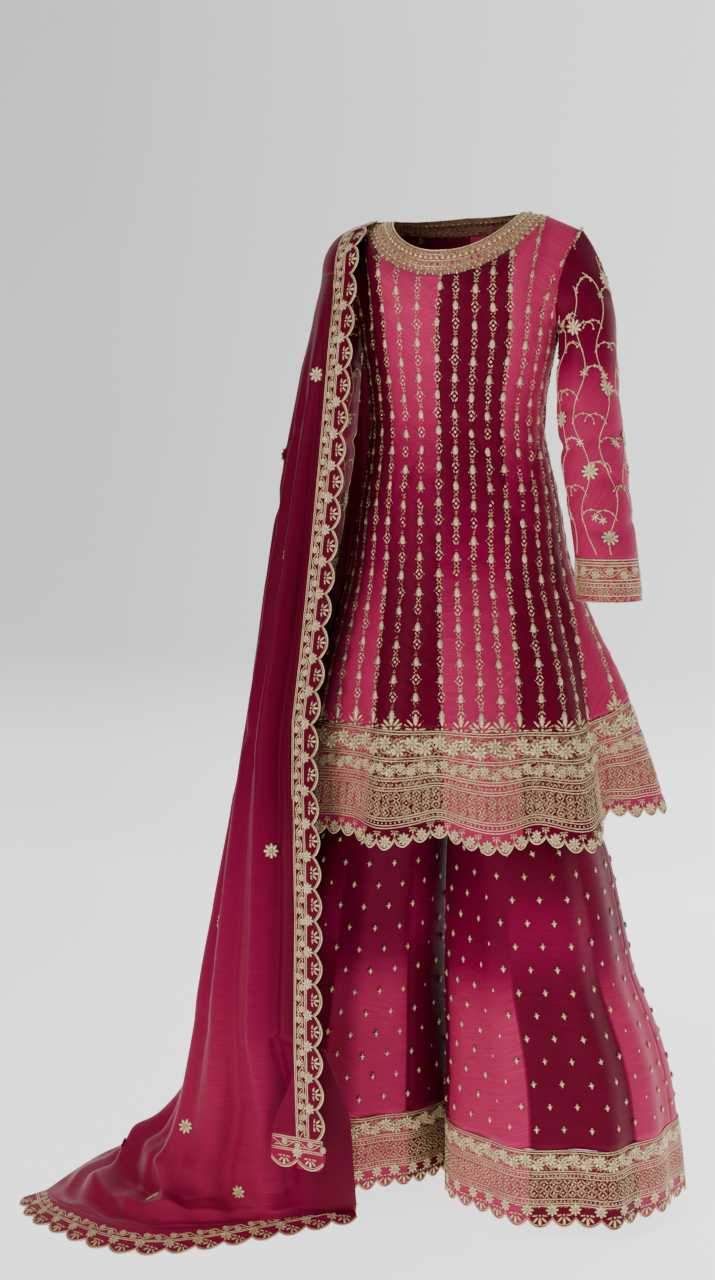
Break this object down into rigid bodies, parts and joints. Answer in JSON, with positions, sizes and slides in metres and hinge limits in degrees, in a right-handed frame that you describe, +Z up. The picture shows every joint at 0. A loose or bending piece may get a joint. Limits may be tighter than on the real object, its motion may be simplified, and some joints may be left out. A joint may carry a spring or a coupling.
{
  "type": "salwar suit",
  "caption": "Flared ombre kurta with long sleeves, wide panelled sharara and a scalloped dupatta draped over one shoulder to the floor.",
  "frame": {"origin": "on the middle line of the body, at the height of the neck point where the wearer's shoulders hold the garment", "axes": "+Z up, the wearer faces -Y, +X is the wearer's left"},
  "size_m": [0.992, 0.6009, 1.5106],
  "materials": {
    "kurta_wine_silk": "silk with fine slubs, wine running to pink at the hem",
    "kurta_pink_silk": "silk with fine slubs, pink running to wine at the hem",
    "kurta_border": "embroidered border, pale gold thread and sequins",
    "neck_embroidery": "sequin and bead embroidery on pink silk",
    "sleeve_silk": "silk with an embroidered vine, wine running to rose",
    "cuff_embroidery": "embroidered cuff, pale gold thread",
    "sharara_silk": "silk panels running from wine to pink, small woven diamonds",
    "sharara_border": "embroidered border, pale gold thread",
    "dupatta_silk": "soft sheer silk, wine running to rose",
    "dupatta_border": "scalloped border, pale gold thread"
  },
  "bodies": {
    "root": {"cuff_left": "cuff_embroidery", "cuff_right": "cuff_embroidery", "dupatta_back_fall": "dupatta_silk", "dupatta_border_back": "dupatta_border", "dupatta_border_front": "dupatta_border", "dupatta_front_fall": "dupatta_silk", "dupatta_front_flap": "dupatta_silk", "dupatta_shoulder": "dupatta_silk", "dupatta_train": "dupatta_silk", "dupatta_train_end": "dupatta_border", "kurta_hem_border": "kurta_border", "kurta_panel_1": "kurta_wine_silk", "kurta_panel_2": "kurta_pink_silk", "kurta_panel_3": "kurta_wine_silk", "kurta_panel_4": "kurta_pink_silk", "kurta_panel_5": "kurta_wine_silk", "kurta_panel_6": "kurta_pink_silk", "kurta_panel_7": "kurta_wine_silk", "kurta_panel_8": "kurta_pink_silk", "neck_band": "neck_embroidery", "sharara_hem_border_left": "sharara_border", "sharara_hem_border_right": "sharara_border", "sharara_leg_left_back": "sharara_silk", "sharara_leg_left_front": "sharara_silk", "sharara_leg_right_back": "sharara_silk", "sharara_leg_right_front": "sharara_silk", "sharara_waistband": "sharara_silk", "sharara_yoke": "sharara_silk", "sleeve_left": "sleeve_silk", "sleeve_right": "sleeve_silk"}
  },
  "joints": []
}
